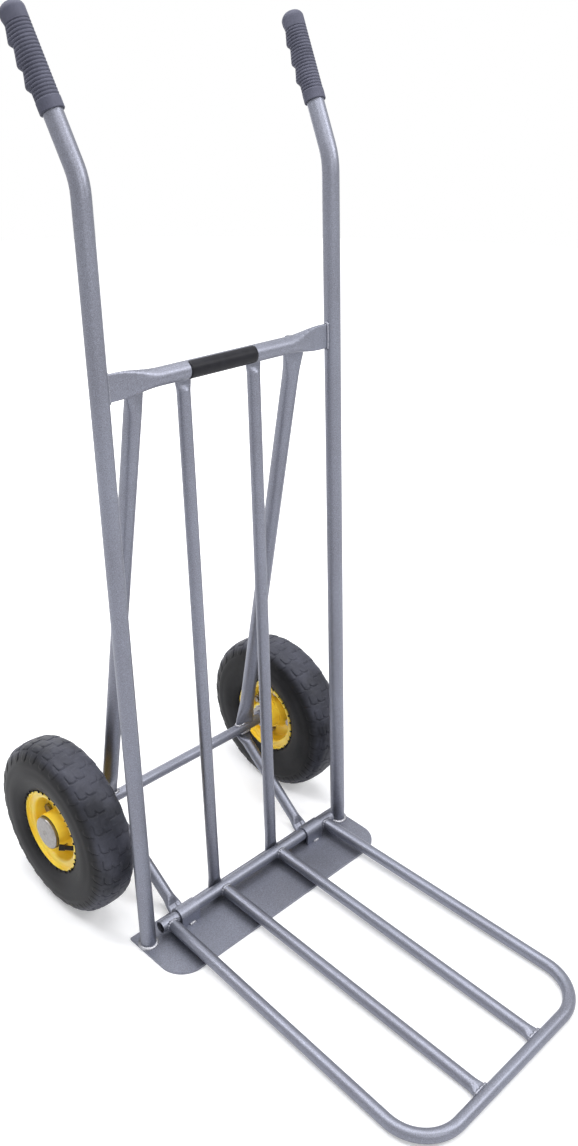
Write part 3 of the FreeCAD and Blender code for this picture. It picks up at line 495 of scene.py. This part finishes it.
def grip_matrix(sign):
    """Local Z runs from the mouth of the grip to its closed end, local Y to the fingers' side."""
    turn = Matrix.Rotation(-LEAN, 4, "X") @ Matrix.Rotation(-sign * SPLAY, 4, "Y")
    turn = turn @ Matrix.Rotation(-sign * TWIST, 4, "Z")
    base = Matrix.Translation(rail_plane(sign * RAIL_X, RAIL_RADIUS * math.tan(LEAN) + 0.1 * MM, 0)) @ turn
    bend = Matrix.Rotation(-BEND, 4, "X")
    return base @ Matrix.Translation((0, 0, RAIL_LENGTH)) @ bend @ Matrix.Translation((0, 0, GRIP_START))


# how far the finger side stands out, in mm, against the way from the mouth
FINGERS = ((23.5, 0.0), (30, 5.0), (32, 5.4), (46.5, 0.2), (52.5, 4.8), (54.5, 5.1), (71, 0.2), (76.5, 4.8),
           (78.5, 5.0), (93, 0.2), (96, 0.8), (100, 2.2), (106, 2.5), (111, 1.4), (114, 0.0))
RIB_START, RIB_END, RIB_PITCH = 14 * MM, 92 * MM, 3.9 * MM


def fingers_height(z):
    """How far the finger side stands out, a way along the grip."""
    z /= MM
    if z <= FINGERS[0][0]:
        return 0.0
    for (z0, h0), (z1, h1) in zip(FINGERS, FINGERS[1:]):
        if z <= z1:
            return (h0 + (h1 - h0) * (z - z0) / (z1 - z0)) * MM
    return FINGERS[-1][1] * MM


def make_grip(side, sign):
    """Rubber grip: plain collar, fine ribs, three finger stops and a domed end."""
    around, dome = 64, 9 * MM
    stations = []
    z = 0.0
    while z < GRIP_LENGTH - dome:
        stations.append((z, 0.0))
        z += 0.42 * MM
    for step in range(15):
        angle = math.pi / 2 * step / 14
        stations.append((GRIP_LENGTH - dome + dome * math.sin(angle), dome * (1 - math.cos(angle))))
    verts = []
    for z, inset in stations:
        on = smoothstep(RIB_START - 1 * MM, RIB_START, z) * (1 - smoothstep(RIB_END, RIB_END + 1 * MM, z))
        wave = (0.5 + 0.5 * math.cos(2 * math.pi * (z - RIB_START) / RIB_PITCH)) ** 3
        collar = 0.3 * MM * (1 - smoothstep(12 * MM, 13.2 * MM, z)) * smoothstep(0, 0.6 * MM, z)
        share = (GRIP_RADIUS - inset) / GRIP_RADIUS
        for k in range(around):
            angle = 2 * math.pi * k / around
            back = max(math.cos(angle), 0)
            rib = 1.0 * MM * on * wave * (1 - smoothstep(0.35, 0.75, back))
            radius = GRIP_RADIUS - inset - rib + collar * share
            radius += fingers_height(z) * back ** 1.3 * share
            verts.append(Vector((radius * math.sin(angle), radius * math.cos(angle), z)))
    rows = len(stations)
    faces = grid_faces(rows, around, wrap_columns=True)
    verts.append(Vector((0, 0, GRIP_LENGTH)))
    last = (rows - 1) * around
    faces += [(last + k, last + (k + 1) % around, len(verts) - 1) for k in range(around)]
    # the mouth turns in to the tube
    first = len(verts)
    for radius, z in ((RAIL_RADIUS + 0.15 * MM, 0.0), (RAIL_RADIUS + 0.15 * MM, 6 * MM)):
        for k in range(around):
            angle = 2 * math.pi * k / around
            verts.append(Vector((radius * math.sin(angle), radius * math.cos(angle), z)))
    rings = [0, first, first + around]
    for a, b in zip(rings, rings[1:]):
        faces += [(a + (k + 1) % around, a + k, b + k, b + (k + 1) % around) for k in range(around)]
    piece = add_mesh(f"{side}_grip_cover", verts, faces, "frame", grip_rubber,
                     matrix=grip_matrix(sign))
    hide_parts(f"{side}_grip")


for side, sign in SIDES.items():
    make_grip(side, sign)


# ---------------------------------------------------------------- tyres

PITCHES = 30                                # tread blocks round the tyre
SAMPLES = 25                                # mesh steps round each of them
TREAD_DEPTH = 2.2 * MM                      # of the cuts beside the blocks
LAND = 0.76                                 # height of the lands between blocks, as a share of that
TREAD_EDGE, SIDEWALL_START = 36 * MM, 47 * MM
SHOULDER = 27                               # mm from the crown: rows beyond it are the shoulder's
SHOULDER_CUT = 0.55                         # depth of the shoulder's cuts, as a share of the others'
TREAD_STEP, WALL_STEP = 0.95 * MM, 3.4 * MM # mesh steps across the tread and up the walls
WALL_LINES, WALL_LINE_WIDTH = (77, 98), 7   # radii and width of the moulded lines on the walls, mm
WALL_LINE_DEPTH = 0.3 * MM
# rows of blocks on one half of the tread: from, to (mm along the surface from the crown), and the
# part of a pitch that the block fills
ROWS = ((0.9, 12.9, 0.06, 0.745), (14.3, 25.4, 0.06, 0.745), (29.2, 43.0, 0.2, 0.72))


def inside(value, low, high, edge):
    """1 between two limits and 0 outside them, with slopes as wide as edge."""
    half = edge / 2
    return smoothstep(low - half, low + half, value) * (1 - smoothstep(high - half, high + half, value))


def tread_height(across, turn):
    """Height of the tread, 0 in a cut to 1 on a block. turn counts pitches round the tyre."""
    pitch = 2 * math.pi * CROWN / PITCHES / MM
    half_turn = turn if across > 0 else turn + 0.5
    place = abs(across) / MM
    along = (half_turn - math.floor(half_turn)) * pitch
    height, cut = 0.0, 0.0
    for low, high, first, last in ROWS:
        start, end = first * pitch, last * pitch
        # the outer corner of each block is rounded, and the shoulder blocks lean
        lean = 0.3 * (place - 36) if low > SHOULDER else 0
        corner = 3.2 * smoothstep(high - 5, high, place) ** 2
        block = smoothstep(start - 1, start + 2 + corner, along + lean)
        block *= 1 - smoothstep(end - corner - 0.5, end - corner + 0.5, along + lean)
        height = max(height, block * inside(place, low, high, 1.0))
        # a thin cut follows the trailing edge and the outer edge of each block
        behind = (inside(along + lean, end - corner, end - corner + 1.7, 0.9)
                  * inside(place, low - 0.6, high + 0.8, 0.8))
        beside = inside(place, high, high + 1.4, 0.9) * inside(along, start + 4, end, 2.0)
        cut = max(cut, max(behind, beside) * (SHOULDER_CUT if low > SHOULDER else 1))
    # the two middle rows are one block, split by a thin cut that opens at its trailing edge
    if 11 < place < 16.5 and 0.06 * pitch < along < 0.74 * pitch:
        height = max(height, 0.85 - 0.85 * smoothstep(0.5 * pitch, 0.6 * pitch, along))
        cut *= smoothstep(0.5 * pitch, 0.6 * pitch, along)
    ribs = 0.5 + 0.5 * math.cos(2 * math.pi * (place - 13.6) / 2.1)
    height -= 0.2 * ribs * inside(place, 9.5, 17.8, 1.0) * inside(along / pitch, 0.1, 0.5, 0.06)
    height = max(height, LAND * (1 - cut))
    return max(height, smoothstep(TREAD_EDGE, SIDEWALL_START, abs(across)))


def tyre_profile():
    """The outer side of the tyre from bead to bead: (distance, radius, way along from the crown)."""
    shares = ((0.93, 0.29), (0.99, 0.42), (1.0, 0.55), (0.97, 0.69), (0.89, 0.81), (0.75, 0.91), (0.5, 0.98))
    half = [(21.3 * MM, 52 * MM), (21.35 * MM, 61.4 * MM), (28.2 * MM, 63.4 * MM)]
    half += [(a * TYRE_HALF, TYRE_SEAT + b * (CROWN - TYRE_SEAT)) for a, b in shares]
    whole = half + [(0.0, CROWN - 0.05 * MM)] + [(-a, r) for a, r in reversed(half)]
    dense = smooth_line(whole, 24)
    lengths = [0.0]
    for (a0, r0), (a1, r1) in zip(dense, dense[1:]):
        lengths.append(lengths[-1] + math.hypot(a1 - a0, r1 - r0))
    middle = lengths[-1] / 2
    stations = []
    at, index = 0.0, 0
    while at < lengths[-1]:
        while lengths[index + 1] < at:
            index += 1
        t = (at - lengths[index]) / max(lengths[index + 1] - lengths[index], 1e-9)
        a = dense[index][0] + (dense[index + 1][0] - dense[index][0]) * t
        r = dense[index][1] + (dense[index + 1][1] - dense[index][1]) * t
        stations.append((a, r, middle - at))
        at += TREAD_STEP if abs(middle - at) < SIDEWALL_START else WALL_STEP
    stations.append((*dense[-1], -middle))
    return stations


def make_tyre(side, sign):
    """Pneumatic tyre with a block tread and broad moulding lines on its sidewalls."""
    profile = tyre_profile()
    columns = len(profile)
    sunk = []
    for step in range(SAMPLES):
        for a, r, across in profile:
            sunk.append(TREAD_DEPTH * (1 - tread_height(across, step / SAMPLES)))
    bands = []
    for a, r, across in profile:
        lines = sum(groove(r - line * MM, WALL_LINE_WIDTH * MM) for line in WALL_LINES) if r < 108 * MM else 0
        bands.append(WALL_LINE_DEPTH * lines)
    centre = Vector((sign * WHEEL_X, AXLE_Y, AXLE_Z))
    verts = []
    for i in range(PITCHES * SAMPLES):
        angle = 2 * math.pi * i / (PITCHES * SAMPLES)
        for j, (a, r, across) in enumerate(profile):
            slope = math.atan2(a, r - 94 * MM) if r > 94 * MM else math.copysign(math.pi / 2, a)
            depth = sunk[(i % SAMPLES) * columns + j] if r > 70 * MM else 0
            rad = r - depth * math.cos(slope)
            out = a - depth * math.sin(slope) - math.copysign(bands[j], a)
            verts.append(centre + Vector((sign * out, rad * math.cos(angle), rad * math.sin(angle))))
    faces = grid_faces(PITCHES * SAMPLES, columns, wrap_rows=True, wrap_columns=True)
    if sign < 0:
        faces = [tuple(reversed(face)) for face in faces]
    piece = add_mesh(f"{side}_tyre_tread", verts, faces, f"{side}_wheel", tyre_rubber)
    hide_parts(f"{side}_tyre")


def make_bead_lugs(side, sign):
    """Small rubber lugs where each sidewall meets the rim."""
    rng = random.Random(7)
    centre = Vector((sign * WHEEL_X, AXLE_Y, AXLE_Z))
    verts, faces = [], []
    for face_sign in (-1, 1):
        for step in range(30):
            angle = 2 * math.pi * (step + rng.uniform(-0.25, 0.25)) / 30
            half = rng.uniform(0.010, 0.022)
            first = len(verts)
            for r, d in ((60.4, 28.3), (63.9, 28.3), (63.9, 30.2), (60.4, 29.4)):
                for a in (angle - half, angle + half):
                    verts.append(centre + Vector((face_sign * d * MM, r * MM * math.cos(a), r * MM * math.sin(a))))
            faces += [tuple(first + k for k in f) for f in
                      ((0, 1, 3, 2), (2, 3, 5, 4), (4, 5, 7, 6), (6, 7, 1, 0), (0, 2, 4, 6), (1, 7, 5, 3))]
    add_mesh(f"{side}_bead_lugs", verts, faces, f"{side}_wheel", tyre_rubber, smooth=False)


def turned(name, outline, side, sign, material):
    """A turned piece on a wheel's axis. The outline is (outboard from the middle plane, radius) in mm."""
    around = 72
    verts = []
    for k in range(around):
        angle = 2 * math.pi * k / around
        for out, radius in outline:
            verts.append(Vector((sign * (WHEEL_X + out * MM), AXLE_Y + radius * MM * math.cos(angle),
                                 AXLE_Z + radius * MM * math.sin(angle))))
    faces = grid_faces(around, len(outline), wrap_rows=True, wrap_columns=True)
    if sign < 0:
        faces = [tuple(reversed(face)) for face in faces]
    return add_mesh(name, verts, faces, f"{side}_wheel", material)


def arc(centre_out, centre_radius, radius, start, end, steps=6):
    """Points of an arc in the (outboard, radius) plane, angles in degrees from outboard."""
    points = []
    for i in range(steps + 1):
        angle = math.radians(start + (end - start) * i / steps)
        points.append((centre_out + radius * math.cos(angle), centre_radius + radius * math.sin(angle)))
    return points


def make_hub_cap(side, sign):
    """Painted barrel of the hub, with a zinc cap that stands a little proud of its mouth."""
    barrel = [(17.0, 24.45), (26.0, 24.45), (26.5, 25.1), (29.3, 25.1)] + arc(28.9, 25.5, 0.6, 10, 90, 4)
    barrel += [(4.4, 26.1), (2.6, 28.0), (2.6, 24.45)]
    turned(f"{side}_hub_barrel", barrel, side, sign, MATERIALS["rim_yellow"])
    shell = [(17.0, 23.2), (17.0, 24.2), (32.6, 24.2)] + arc(32.7, 21.4, 2.8, 84, 30, 6)
    shell += [(35.5, 21.6), (35.75, 20.4), (35.7, 17.0), (35.85, 9.0), (35.95, 0.02)]
    shell += [(34.9, 0.02), (34.7, 17.0), (33.6, 23.2)]
    piece = turned(f"{side}_dust_cap_shell", shell, side, sign, MATERIALS["zinc"])
    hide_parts(f"{side}_dust_cap")


for side, sign in SIDES.items():
    make_tyre(side, sign)
    make_bead_lugs(side, sign)
    make_hub_cap(side, sign)


# ---------------------------------------------------------------- floor, light and camera

def background_rays(tree):
    """1 for the rays that see the background: the camera's and those mirrored or let through."""
    rays = tree.nodes.new("ShaderNodeLightPath")
    total = rays.outputs["Is Camera Ray"]
    for kind in ("Is Glossy Ray", "Is Transmission Ray"):
        either = tree.nodes.new("ShaderNodeMath")
        either.operation = "MAXIMUM"
        tree.links.new(total, either.inputs[0])
        tree.links.new(rays.outputs[kind], either.inputs[1])
        total = either.outputs[0]
    return total


def floor_material():
    """A pale floor that goes to white away from the truck and keeps its shadow near it."""
    material = bpy.data.materials.new("floor_white")
    material.use_nodes = True
    tree = material.node_tree
    shader = tree.nodes["Principled BSDF"]
    shader.inputs["Base Color"].default_value = (0.8, 0.8, 0.81, 1)
    shader.inputs["Roughness"].default_value = 0.9
    shader.inputs["Specular IOR Level"].default_value = 0.1
    place = tree.nodes.new("ShaderNodeTexCoord")
    distance = tree.nodes.new("ShaderNodeVectorMath")
    distance.operation = "LENGTH"
    tree.links.new(place.outputs["Object"], distance.inputs[0])
    growth = tree.nodes.new("ShaderNodeMapRange")
    for name, value in (("From Min", 0.5), ("From Max", 2.6), ("To Min", 0.32), ("To Max", 1.0)):
        growth.inputs[name].default_value = value
    tree.links.new(distance.outputs["Value"], growth.inputs["Value"])
    glow = tree.nodes.new("ShaderNodeEmission")
    tree.links.new(growth.outputs["Result"], glow.inputs["Strength"])
    none = tree.nodes.new("ShaderNodeEmission")
    none.inputs["Strength"].default_value = 0
    mix = tree.nodes.new("ShaderNodeMixShader")
    tree.links.new(background_rays(tree), mix.inputs["Fac"])
    tree.links.new(none.outputs[0], mix.inputs[1])
    tree.links.new(glow.outputs[0], mix.inputs[2])
    add = tree.nodes.new("ShaderNodeAddShader")
    tree.links.new(shader.outputs[0], add.inputs[0])
    tree.links.new(mix.outputs[0], add.inputs[1])
    tree.links.new(add.outputs[0], tree.nodes["Material Output"].inputs["Surface"])
    return material


def make_floor():
    """A disc under the truck, just below the tyres so that no faces coincide."""
    around, radius, drop = 96, 6, 0.5 * MM
    verts = [(radius * math.cos(2 * math.pi * k / around), radius * math.sin(2 * math.pi * k / around), 0)
             for k in range(around)]
    mesh = bpy.data.meshes.new("floor")
    mesh.from_pydata(verts, [], [tuple(range(around))])
    mesh.materials.append(floor_material())
    floor = bpy.data.objects.new("floor", mesh)
    floor.location.z = -drop
    bpy.context.scene.collection.objects.link(floor)


def make_world():
    """Soft grey surroundings that the camera and the shiny surfaces see as white."""
    world = bpy.data.worlds.new("studio")
    bpy.context.scene.world = world
    world.use_nodes = True
    tree = world.node_tree
    soft = tree.nodes["Background"]
    soft.inputs["Color"].default_value = (0.93, 0.95, 1.0, 1)
    soft.inputs["Strength"].default_value = 0.25
    white = tree.nodes.new("ShaderNodeBackground")
    white.inputs["Color"].default_value = (1, 1, 1, 1)
    white.inputs["Strength"].default_value = 1.0
    mix = tree.nodes.new("ShaderNodeMixShader")
    tree.links.new(background_rays(tree), mix.inputs["Fac"])
    tree.links.new(soft.outputs[0], mix.inputs[1])
    tree.links.new(white.outputs[0], mix.inputs[2])
    tree.links.new(mix.outputs[0], tree.nodes["World Output"].inputs["Surface"])


# name, place, target, size in metres, power in watts
LAMPS = (
    ("overhead", (0, 0.1, 2.6), (0, 0.1, 0), 2.2, 60),
    ("back_left", (-1.0, 1.4, 2.3), (0, 0, 0.2), 0.9, 24),
    ("front_right", (1.2, -1.6, 2.2), (0, 0, 0.5), 0.9, 30),
    ("front", (-0.8, -2.3, 1.9), (0, 0, 0.6), 1.0, 14),
    ("back_fill", (0.9, 2.5, 1.2), (0, 0, 0.5), 1.2, 12),
)


def add_area(name, place, target, size, power):
    """A square lamp that faces its target."""
    data = bpy.data.lights.new(name, "AREA")
    data.size = size
    data.energy = power
    lamp = bpy.data.objects.new(name, data)
    lamp.location = place
    lamp.rotation_mode = "QUATERNION"
    lamp.rotation_quaternion = (Vector(target) - Vector(place)).to_track_quat("-Z", "Y")
    bpy.context.scene.collection.objects.link(lamp)


def make_camera():
    """The viewpoint: in front of the right wheel, above the handles, looking down across the truck."""
    yaw, pitch, roll = math.radians(-44.392), math.radians(-25.81), math.radians(0.605)
    focal, centre_u, centre_v = 1071.575, 265.095, 559.514
    width, height = 578, 1146
    look = Vector((-math.sin(yaw) * math.cos(pitch), math.cos(yaw) * math.cos(pitch), math.sin(pitch)))
    right = Vector((math.cos(yaw), math.sin(yaw), 0))
    up = right.cross(look)
    right, up = right * math.cos(roll) + up * math.sin(roll), up * math.cos(roll) - right * math.sin(roll)
    data = bpy.data.cameras.new("camera")
    data.sensor_fit = "AUTO"
    data.sensor_width = 36
    data.lens = focal / height * 36
    data.shift_x = (width / 2 - centre_u) / height
    data.shift_y = (centre_v - height / 2) / height
    data.clip_start, data.clip_end = 0.05, 60
    camera = bpy.data.objects.new("camera", data)
    camera.matrix_world = Matrix.Translation((-0.86931, -0.81733, 1.14839)) @ Matrix(
        (right, up, -look)).transposed().to_4x4()
    bpy.context.scene.collection.objects.link(camera)
    bpy.context.scene.camera = camera


make_floor()
make_world()
for lamp in LAMPS:
    add_area(*lamp)
make_camera()
bpy.context.scene.view_settings.view_transform = "Standard"
